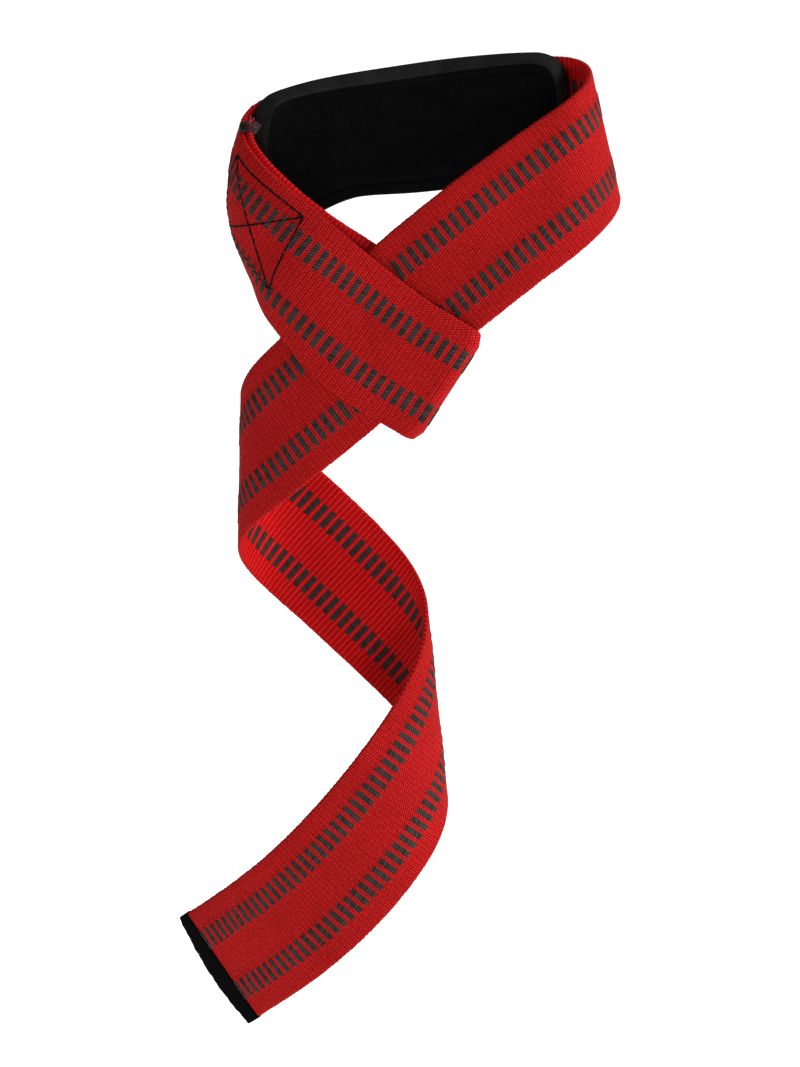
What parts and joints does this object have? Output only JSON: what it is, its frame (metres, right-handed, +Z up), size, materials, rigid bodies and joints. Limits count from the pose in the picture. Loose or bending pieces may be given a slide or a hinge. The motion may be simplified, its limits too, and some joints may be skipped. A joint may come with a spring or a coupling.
{
  "type": "padded wrist strap with a threaded eye",
  "caption": "Red woven wrist strap with rows of grey bars, a black foam pad inside its loop, a sewn eye and a free curled tail with a black tip.",
  "frame": {"origin": "middle of the wrist hollow, between the loop's two rims", "axes": "+Z up along the forearm, +X to the strap's right as seen from the side where it crosses, +Y towards the pad"},
  "size_m": [0.1356, 0.0773, 0.2923],
  "materials": {
    "webbing": "ribbed woven red webbing with two rows of grey bars",
    "pad": "black foam with a fine woven cover",
    "tip": "black dipped and heat-sealed webbing end"
  },
  "bodies": {
    "root": {"webbing_strap": "webbing", "wrist_pad": "pad", "tail_tip": "tip"}
  },
  "joints": []
}
